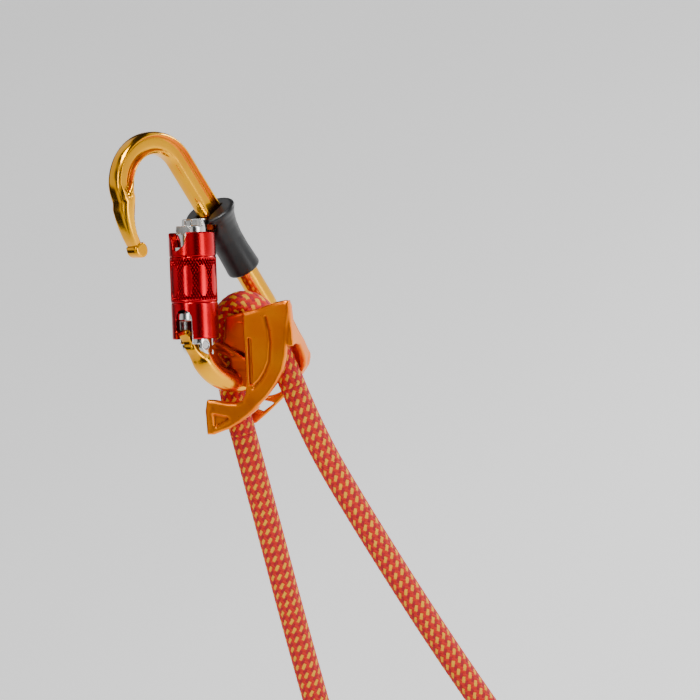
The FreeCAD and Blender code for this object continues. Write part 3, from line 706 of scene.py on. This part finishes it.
def adjuster_frame():
    """Front plate with its crest, grooves and wing, cheek, side wall and back plate round the rope."""
    rope = bight_line()
    rope_out = [(20.5, -24.0), (38.0, -61.0)]

    def bar_room(x, y, z):
        room, far = 5.45, 1e3
        ring, px, py, pz = basket_clearance(x, y, z, room)
        ring = np.where(pz < BASKET_Z, ring, far)
        spine = np.sqrt((px - SPINE_X) ** 2 + py ** 2) - room
        stem = np.sqrt((px - STEM_X) ** 2 + py ** 2) - room
        return np.minimum(ring, np.where(pz >= BASKET_Z, np.minimum(spine, stem), far)).reshape(x.shape)

    def f(x, y, z):
        # front plate, slightly crowned, raised towards the crest at the upper right
        d2 = d_poly(PLATE, x, z)
        crest = smooth_step((x - 8) / 14) * smooth_step((z + 12) / 20)
        lift = -0.25 - 0.55 * crest + 0.9 * smooth_step((-26 - z) / 14)
        front = slab(d2, y, -11.7 + lift, -8.6, 1.15)
        groove = slab(d_line([(5.9, -2.9), (6.6, -21.4)], x, z) - 0.78, y, -14, -10.5 + lift, 0.2)
        front = carve(front, groove, 0.25)
        crease = d_line([(13.0, 7.2), (14.4, 2.0), (15.0, -3.6), (14.4, -11.4), (12.6, -16.0), (10.4, -19.6),
                         (7.4, -22.8)], x, z)
        front = front + 0.6 * np.exp(-(crease / 0.6) ** 2)
        recess = slab(d_poly([(-11.4, -35.4), (-4.2, -36.2), (-3.0, -37.4), (-9.6, -41.8), (-10.8, -41.0)],
                             x, z), y, -14, -9.2, 0.2)
        front = carve(front, recess, 0.4)
        # inner core that ties the plate to the cheek behind it
        core = slab(d_poly([(7.0, 6.0), (21.0, 12.6), (21.8, 4.0), (20.4, -4.0), (18.0, -18.0), (12.0, -26.0),
                            (8.0, -14.0)], x, z), y, -10.4, -5.95, 0.5)
        wing = slab(d_poly([(-12.4, -32.2), (-12.8, -43.6), (-3.0, -41.0), (9.0, -32.0), (6.0, -29.8)], x, z),
                    y, -10.4, -6.6, 1.0)
        cheek = slab(d_poly([(-6.2, 4.6), (3.0, 7.6), (14.0, 9.8), (20.0, 11.0), (19.5, -9.0), (4.0, -10.5),
                             (-7.2, -7.6)], x, z), y, -7.9, -5.95, 0.6)
        d = join(front, core, 1.3)
        d = join(d, wing, 1.3)
        d = join(d, cheek, 0.8)
        # rear plate, with the side wall from front to back
        rear = slab(d_poly([(-6.2, 4.6), (2.0, 6.3), (8.0, 6.3), (13.0, 7.2), (17.0, 3.8), (20.4, -2.6),
                            (22.6, -5.9), (24.6, -10.5), (25.1, -13.3), (24.4, -16.5), (22.1, -19.9),
                            (18.0, -26.4), (12.6, -32.3), (7.0, -38.0), (1.7, -42.9), (-2.0, -43.6),
                            (-12.4, -44.6), (-13.2, -34.0), (-8.0, -31.8), (-7.0, -14.0)], x, z),
                    y, 5.85, 8.25, 0.8)
        outer = np.interp(z, [-22, -20, -16, -12, -5, 0, 5, 14.5],
                          [21.4, 22.1, 24.6, 25.2, 25.0, 24.5, 24.0, 23.2])
        side = slab(d_poly(SIDE_WALL, y, z), x - outer, -2.5, 0.0, 0.7)
        wall = slab(d_poly([(-11.0, -32.4), (-13.0, -36.0), (-12.8, -44.4), (-10.0, -44.4)], x, z), y,
                    -11.2, 8.2, 0.8)
        d = join(d, side, 1.1)
        d = join(d, rear, 1.0)
        d = join(d, wall, 1.2)
        eye = np.sqrt((x - 4.6) ** 2 + (z + 17.8) ** 2) - 13.3
        d = carve(d, np.maximum(eye, 4.0 - y), 0.7)
        window = slab(d_poly([(0.4, -36.4), (4.6, -37.8), (10.0, -33.4), (5.6, -32.8)], x, z),
                      y, 4.0, 10.0, 0.5)
        d = carve(d, window, 0.5)
        gap = np.sqrt(d_line(rope, x, z) ** 2 + y ** 2) - (ROPE_R + 0.35)
        out = np.sqrt(d_line(rope_out, x, z) ** 2 + y ** 2) - (ROPE_R + 0.6)
        d = carve(d, np.minimum(gap, out), 0.45)
        d = carve(d, bar_room(x, y, z), 0.35)
        pin = np.sqrt(x ** 2 + z ** 2) - 1.97
        return np.maximum(d, -pin)

    verts, faces = net(f, (-15.5, -13.5, -46.5), (27.5, 9.5, 16.5), 0.55)
    mid = np.array([np.mean([verts[i] for i in face], axis=0) for face in faces])
    # painted shade: the cheek behind the plate's left edge takes the darker orange copy
    tone = ((mid[:, 0] < 2.5) & (mid[:, 1] > -8.5) & (mid[:, 1] < -5) & (mid[:, 2] > -12)).astype(int)
    piece = add_mesh("adjuster_body", verts, faces, from_adjuster, slots=tone)
    return finish_piece(piece, [ORANGE, ORANGE_PAINTED_SHADE], "orange_anodised", "adjuster", "adjuster_frame")


def cam():
    """Cam body between the strands, its front lever plate, and the eye round the basket."""
    rope = bight_line()
    eye_at = (3.722614, 7.439457, -18.691756)
    eye_dir = (0.2706076, 0.7740278, 0.5724094)

    def f(x, y, z):
        drum = slab(np.sqrt(x ** 2 + z ** 2) - 3.45, y, -5.2, 5.2, 0.3)
        web = slab(d_poly([(-3.2, 1.4), (2.8, 1.4), (9.0, -14.6), (-3.2, -14.6)], x, z), y, -5.2, 5.2, 0.6)
        lug = slab(d_poly([(-2.8, -12.4), (5.4, -12.4), (6.2, -16.4), (-2.8, -16.4)], x, z), y, -9.0, -4.0, 0.4)
        d2 = d_poly([(-15.2, -10.6), (-12.4, -8.0), (-9.0, -5.8), (-5.4, -6.8), (-1.5, -9.0), (2.0, -11.2),
                     (5.2, -13.0), (5.4, -23.6), (1.2, -23.6), (-5.0, -18.6), (-11.0, -13.2)], x, z)
        lever = slab(d2, y, -9.35, -8.2, 0.35)
        rim = slab(np.abs(d_line([(-9.6, -7.4), (-6.0, -7.9), (-2.6, -10.0)], x, z)) - 0.9, y, -9.6, -8.4, 0.4)
        lever = join(lever, rim, 0.4)
        hollow = slab(d_poly([(-9.0, -10.2), (-3.6, -12.2), (-2.6, -18.0)], x, z), y, -11, -7, 0.3)
        lever = carve(lever, hollow, 0.5)
        hole = np.sqrt((x + 11.8) ** 2 + (z + 10.2) ** 2) - 1.15
        lever = carve(lever, hole, 0.25)
        eye = d_disc(x, y, z, eye_at, eye_dir, 8.7, 3.15, 1.1)
        bore = d_disc(x, y, z, eye_at, eye_dir, 5.6, 6.0, 0.1)
        d = join(join(drum, web, 1.0), lug, 0.8)
        d = join(d, lever, 0.8)
        d = join(d, eye, 1.4)
        d = carve(d, bore, 0.7)
        d = np.maximum(d, -(np.sqrt(x ** 2 + z ** 2) - 2.52))
        for tip in CAM_TIPS:
            c, s = math.cos(math.radians(tip)), math.sin(math.radians(tip))
            turned = [(px * c + pz * s, pz * c - px * s) for px, pz in rope]
            gap = np.sqrt(d_line(turned, x, z) ** 2 + y ** 2) - (ROPE_R + 0.35)
            d = carve(d, gap, 0.3)
        ring = basket_clearance(x, y, z, 5.4)[0]
        return carve(d, ring.reshape(x.shape), 0.2)

    verts, faces = net(f, (-17, -10.6, -30), (15, 14, 5), 0.45)
    piece = add_mesh("cam_body", verts, faces, from_adjuster)
    # painted shade: the cam takes the darker orange copy, for the shadow it lies in between the plates
    return finish_piece(piece, ORANGE_PAINTED_SHADE, "dark_orange_anodised", "cam_eye", "cam")


# ------------------------------------------------------------------ rope

def resampled(points, step):
    """The line at even spacing, and the run to each of its points."""
    p = np.asarray(points, float)
    run = np.concatenate([[0], np.cumsum(np.linalg.norm(np.diff(p, axis=0), axis=1))])
    keep = np.concatenate([[True], np.diff(run) > 1e-9])
    p, run = p[keep], run[keep]
    n = max(int(run[-1] / step), 4)
    at = np.linspace(0, run[-1], n + 1)
    return np.stack([np.interp(at, run, p[:, k]) for k in range(3)], 1), at


def softened_line(p, rounds):
    """The line with its corners averaged out and its ends kept."""
    q = p.copy()
    for _ in range(rounds):
        q[1:-1] = 0.25 * q[:-2] + 0.5 * q[1:-1] + 0.25 * q[2:]
    return q


def weave(u, v):
    """Two-over-two braid: whether the first set of yarns is on top, which of its yarns, and the rise."""
    a, b = (u + v) / 2, (u - v) / 2
    ia, ib = np.floor(a).astype(int), np.floor(b).astype(int)
    fa, fb = a - ia, b - ib
    k = (ia + ib) % 4
    top_a = k < 2
    along = np.where(top_a, (k + fb) / 2, (k - 2 + fa) / 2)
    wide = np.where(top_a, fa, fb)
    crown = np.sin(np.pi * np.clip(wide, 0, 1)) ** 0.5
    hump = crown * (0.35 + 0.65 * np.sin(np.pi * np.clip(along, 0, 1)) ** 0.5)
    return top_a, ia, hump


def braid(name, line, start=0.0, radius=5.2, step=0.28, count=120):
    """Braided sheath along a line in a plane of the adjuster: yarns over and under each other, with
    yellow yarns among the red and crimson ones."""
    pts, at = resampled(line, step)
    tangent = np.gradient(pts, axis=0)
    tangent /= np.linalg.norm(tangent, axis=1)[:, None]
    across = np.array([0.0, 1.0, 0.0])
    side = np.cross(across, tangent)
    side /= np.linalg.norm(side, axis=1)[:, None]
    phi = np.linspace(0, 2 * math.pi, count + 1)[:-1]
    v = (at[:, None] + start) / YARN_RUN
    hump = weave(YARNS_AROUND * phi[None, :] / (2 * math.pi), v)[2]
    r = radius - 0.14 + 0.34 * hump
    c, s = np.cos(phi), np.sin(phi)
    outward = c[None, :, None] * across + s[None, :, None] * side[:, None, :]
    verts = pts[:, None, :] + r[:, :, None] * outward
    faces = tube_faces(len(pts), count)
    uc = YARNS_AROUND * (phi[None, :] + math.pi / count) / (2 * math.pi)
    vc = ((at[:-1, None] + at[1:, None]) / 2 + start) / YARN_RUN
    top_a, ia = weave(uc, vc)[:2]
    tone = np.where(top_a & (ia % 2 == 0), 2, np.where(top_a, 1, 0))
    slots = np.concatenate([tone.ravel(), [0, 0]])
    piece = add_mesh(name, verts.reshape(-1, 3), faces, from_adjuster, slots=slots)
    for m in (YARN_RED, YARN_CRIMSON, YARN_YELLOW):
        piece.data.materials.append(m)
    return piece


def spline_line(name, route):
    """The strand's own centreline: a smooth curve along its route, in the adjuster's frame."""
    curve = bpy.data.curves.new(name, "CURVE")
    curve.dimensions = "3D"
    curve.resolution_u = 48
    spline = curve.splines.new("NURBS")
    spline.points.add(len(route) - 1)
    for point, (x, z) in zip(spline.points, route):
        point.co = (x * MM, 0, z * MM, 1)
    spline.order_u = 3
    spline.use_endpoint_u = True
    holder = bpy.data.objects.new(name, curve)
    bpy.context.scene.collection.objects.link(holder)
    bpy.context.view_layer.update()
    mesh = bpy.data.meshes.new_from_object(holder)
    pts = np.array([v.co[:] for v in mesh.vertices]) / MM
    bpy.data.objects.remove(holder)
    bpy.data.meshes.remove(mesh)
    return pts


def end_matrix(route):
    """Columns: across the loop, the adjuster's Y, up; the strand runs on along -up."""
    last, before = np.array(route[-1], float), np.array(route[-2], float)
    down = (last - before) / np.linalg.norm(last - before)
    up = np.array([-down[0], 0, -down[1]])
    across = np.cross([0, 1, 0], up)
    return np.stack([across, [0, 1, 0], up], 1), np.array([last[0], 0, last[1]])


def at_end(route):
    turn, at = end_matrix(route)
    return lambda p: from_adjuster(np.asarray(p, float) @ turn.T + at)


def oval_cover(name, route, length, node):
    """Cover over the sewn stack: flat oval, its ends drawn in, slight waists between the stitch rows."""
    rows, count = 90, 96
    t = np.linspace(0, 2 * math.pi, count + 1)[:-1]
    verts = []
    for k in range(rows):
        s = k / (rows - 1)
        z = -0.15 - s * (length - 0.3)
        end = min(s, 1 - s) * length
        draw = 0.86 + 0.14 * float(smooth_step(end / 3.2))
        ripple = 1 + 0.012 * math.cos(2 * math.pi * s * length / 3.1)
        for a in t:
            c, q = math.cos(a), math.sin(a)
            x = 11.7 * math.copysign(abs(c) ** 0.72, c) * draw * ripple
            y = 6.1 * math.copysign(abs(q) ** 0.82, q) * (0.9 + 0.1 * float(smooth_step(end / 2.0))) * ripple
            y *= 1 - 0.10 * math.exp(-(x / 1.6) ** 2)
            verts.append((x, y, z))
    piece = add_mesh(name, verts, tube_faces(rows, count), at_end(route))
    piece.data.flip_normals()
    return finish_piece(piece, COVER, "stitching_cover", "adjuster", node)


def stitches(name, route, length):
    """Bar-tack rows in pale thread across the cover's two faces."""
    verts, faces = [], []
    for side in (-1, 1):
        for row in range(7):
            z0 = -5.0 - row * (length - 10) / 6
            for k in range(10):
                x = -8.1 + k * 1.8
                z1 = z0 + (0.7 if k % 2 else -0.7)
                z2 = z0 + (-0.7 if k % 2 else 0.7)
                base = len(verts)
                for m in range(7):
                    u = m / 6
                    cx, cz = x + 1.8 * u, z1 + (z2 - z1) * u
                    dip = 1 - 0.10 * math.exp(-(cx / 1.6) ** 2)
                    bulge = 6.0 * dip * (1 - (abs(cx) / 11.7) ** 2.78) ** 0.41
                    y = side * (bulge + 0.12 * math.sin(math.pi * u) - 0.05)
                    for j in range(6):
                        g = 2 * math.pi * j / 6
                        verts.append((cx, y + 0.24 * math.sin(g), cz + 0.24 * math.cos(g)))
                faces += [tuple(base + i for i in f) for f in tube_faces(7, 6)]
    piece = add_mesh(name, verts, faces, at_end(route))
    return finish_piece(piece, THREAD, "stitching_cover", "adjuster")


def loop_line():
    """The eye: out of the cover, round the thimble and back, from the end of the loaded strand."""
    leg = 5.6
    reach = math.hypot(leg, LOOP_DROP)
    lean = math.atan2(LOOP_DROP, leg) - math.acos(LOOP_R / reach)
    centre = np.array([0.0, -EYE_COVER - LOOP_DROP])
    pts = [(-leg, -EYE_COVER + 1.0), (-leg, -EYE_COVER)]
    for k in range(61):
        a = math.pi - lean + (math.pi + 2 * lean) * k / 60
        pts.append((centre[0] + LOOP_R * math.cos(a), centre[1] + LOOP_R * math.sin(a)))
    pts += [(leg, -EYE_COVER), (leg, -EYE_COVER + 1.0)]
    return [(x, 0.0, z) for x, z in pts]


def rope():
    """The bight over the cam, the two strands, and the covers, stitches, loop and thimble at their ends."""
    line = [(x, 0.0, z) for x, z in bight_line()]
    bight = braid("rope_over_cam", softened_line(resampled(line, 0.5)[0], 4))
    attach(bight, "adjuster")
    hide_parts("rope_bight")
    parts = {}
    for name, node, route in (("rope_load_side", "load_strand", LOAD_ROUTE),
                              ("rope_free_side", "free_strand", FREE_ROUTE)):
        path = spline_line(name + "_line", route)
        piece = braid(name, path, start=1.0)
        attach(piece, "adjuster")
        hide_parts(node)
        parts[node] = (piece, path)
    cover = oval_cover("eye_cover", LOAD_ROUTE, EYE_COVER, "load_eye_cover")
    sewn = stitches("eye_stitches", LOAD_ROUTE, EYE_COVER)
    end_cover = oval_cover("free_cover", FREE_ROUTE, FREE_COVER, "free_end_cover")
    end_sewn = stitches("free_stitches", FREE_ROUTE, FREE_COVER)
    turn, at = end_matrix(LOAD_ROUTE)
    ring = np.array(loop_line()) @ turn.T + at
    loop = braid("rope_eye_loop", ring)
    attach(loop, "adjuster")
    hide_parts("load_eye_loop")
    profile = [(8.7, -6.0), (8.7, 6.0), (9.4, 6.0), (10.5, 5.0), (10.45, 3.0), (10.3, 0), (10.45, -3.0),
               (10.5, -5.0), (9.4, -6.0)]
    count = 96
    verts = []
    for k in range(count):
        a = 2 * math.pi * k / count
        for r, y in profile:
            verts.append((r * math.cos(a), y, -EYE_COVER - LOOP_DROP + r * math.sin(a)))
    faces = []
    n = len(profile)
    for i in range(count):
        for j in range(n):
            k = (i + 1) % count
            faces.append((i * n + j, i * n + (j + 1) % n, k * n + (j + 1) % n, k * n + j))
    thimble = add_mesh("eye_thimble", verts, faces, at_end(LOAD_ROUTE))
    sharpen(thimble, 35)
    finish_piece(thimble, PLASTIC, "black_plastic", "adjuster", "load_eye_thimble")
    for node, extra in (("load_strand", [cover, sewn, loop, thimble]), ("free_strand", [end_cover, end_sewn])):
        piece, path = parts[node]
    return parts


# ------------------------------------------------------------------ small parts

def small_parts():
    """Pins, rings, the bush and the washers keep their own shapes, with finished surfaces; the two springs are
    rebuilt as wound coils.
    """
    # the cam pivot pin takes the painted-shade darker orange of the cam
    for node, mat in (("gate_hinge_pin", SILVER), ("sleeve_retaining_ring", SILVER),
                      ("sleeve_guide_ring", SILVER), ("gate_push_rod", SILVER),
                      ("cam_pivot_pin", ORANGE_PAINTED_SHADE), ("cam_bush", SILVER), ("cam_washers", PLASTIC)):
        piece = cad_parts[node]
        piece.data.materials.clear()
        piece.data.materials.append(mat)
    coil("gate_coil", "gate", "gate_spring", 1.2, 15.1, 34.0, 1.65, 0.34, 11)
    coil("sleeve_coil", "gate", "sleeve_spring", 0.0, 13.3, 35.5, 7.7, 0.38, 7)


def coil(name, body, node, x, low, high, radius, wire, turns):
    steps, count = turns * 40, 10
    verts = []
    for k in range(steps + 1):
        a = 2 * math.pi * turns * k / steps
        z = low + wire + (high - low - 2 * wire) * k / steps
        c = np.array([x + radius * math.cos(a), radius * math.sin(a), z])
        out = np.array([math.cos(a), math.sin(a), 0])
        for j in range(count):
            g = 2 * math.pi * j / count
            verts.append(tuple(c + wire * (math.cos(g) * out + math.sin(g) * np.array([0, 0, 1]))))
    piece = add_mesh(name, verts, tube_faces(steps + 1, count), from_gate)
    return finish_piece(piece, SILVER, "steel", body, node)


# ------------------------------------------------------------------ camera and light

def camera():
    cam_x = Vector((0.5805, -0.6642, -0.4711))
    cam_y = Vector((0.6178, -0.0176, 0.7861))
    cam_z = cam_x.cross(cam_y).normalized()
    cam_y = cam_z.cross(cam_x).normalized()
    cam_x.normalize()
    data = bpy.data.cameras.new("camera")
    holder = bpy.data.objects.new("camera", data)
    bpy.context.scene.collection.objects.link(holder)
    target = Vector((16.8, -34.5, -110.9)) * MM
    distance = 2.0
    turn = Matrix((cam_x, cam_y, cam_z)).transposed().to_4x4()
    holder.matrix_world = Matrix.Translation(target + cam_z * distance) @ turn
    data.sensor_width = 36
    data.lens = 36 * distance * 1000 / 285.7
    data.clip_start = 0.05
    bpy.context.scene.camera = holder
    return cam_x, cam_y, cam_z, target


def area(name, direction, size, power, target, distance=1.2, colour=(1, 1, 1)):
    data = bpy.data.lights.new(name, "AREA")
    data.shape = "RECTANGLE"
    data.size, data.size_y = size
    data.energy = power
    data.color = colour
    light = bpy.data.objects.new(name, data)
    bpy.context.scene.collection.objects.link(light)
    d = Vector(direction).normalized()
    light.location = target + d * distance
    light.rotation_euler = d.to_track_quat("Z", "Y").to_euler()
    return light


def stage():
    cam_x, cam_y, cam_z, target = camera()
    world = bpy.data.worlds.new("studio")
    bpy.context.scene.world = world
    world.use_nodes = True
    tree = world.node_tree
    coords = tree.nodes.new("ShaderNodeTexCoord")
    patches = tree.nodes.new("ShaderNodeTexNoise")
    patches.inputs["Scale"].default_value = 1.9
    patches.inputs["Detail"].default_value = 0.0
    tree.links.new(coords.outputs["Generated"], patches.inputs["Vector"])
    tone = ramp(tree, patches.outputs["Fac"], (0.03, 0.03, 0.03, 1), (1, 1, 1, 1), (0.47, 0.60))
    tree.links.new(tone.outputs["Color"], tree.nodes["Background"].inputs["Color"])
    tree.nodes["Background"].inputs["Strength"].default_value = 0.75
    area("key", cam_z * 0.5 + cam_y * 1.0 - cam_x * 0.55, (0.5, 0.4), 15, target)
    area("fill", cam_z * 0.9 + cam_x * 1.0 + cam_y * 0.15, (0.3, 0.9), 4.5, target)
    area("rim", -cam_z * 0.5 + cam_x * 0.6 + cam_y * 0.7, (0.4, 0.4), 8, target)
    area("front", cam_z * 1.0 - cam_x * 0.9 + cam_y * 0.2, (0.15, 0.7), 2.5, target)
    bpy.ops.mesh.primitive_plane_add(size=12, location=(0, 0, -0.62))
    floor = bpy.context.object
    floor.name = "floor"
    mat, tree, bsdf = shader("floor")
    cloud = noise(tree, 3, 2)
    tone = ramp(tree, cloud.outputs["Fac"], (0.90, 0.90, 0.90, 1), (0.94, 0.94, 0.94, 1))
    tree.links.new(tone.outputs["Color"], bsdf.inputs["Base Color"])
    bsdf.inputs["Roughness"].default_value = 0.9
    bsdf.inputs["Emission Color"].default_value = (1, 1, 1, 1)
    bsdf.inputs["Emission Strength"].default_value = 0.55
    floor.data.materials.append(mat)


stage()
carabiner_frame()
grip()
gate_body()
sleeve()
adjuster_frame()
cam()
rope()
small_parts()
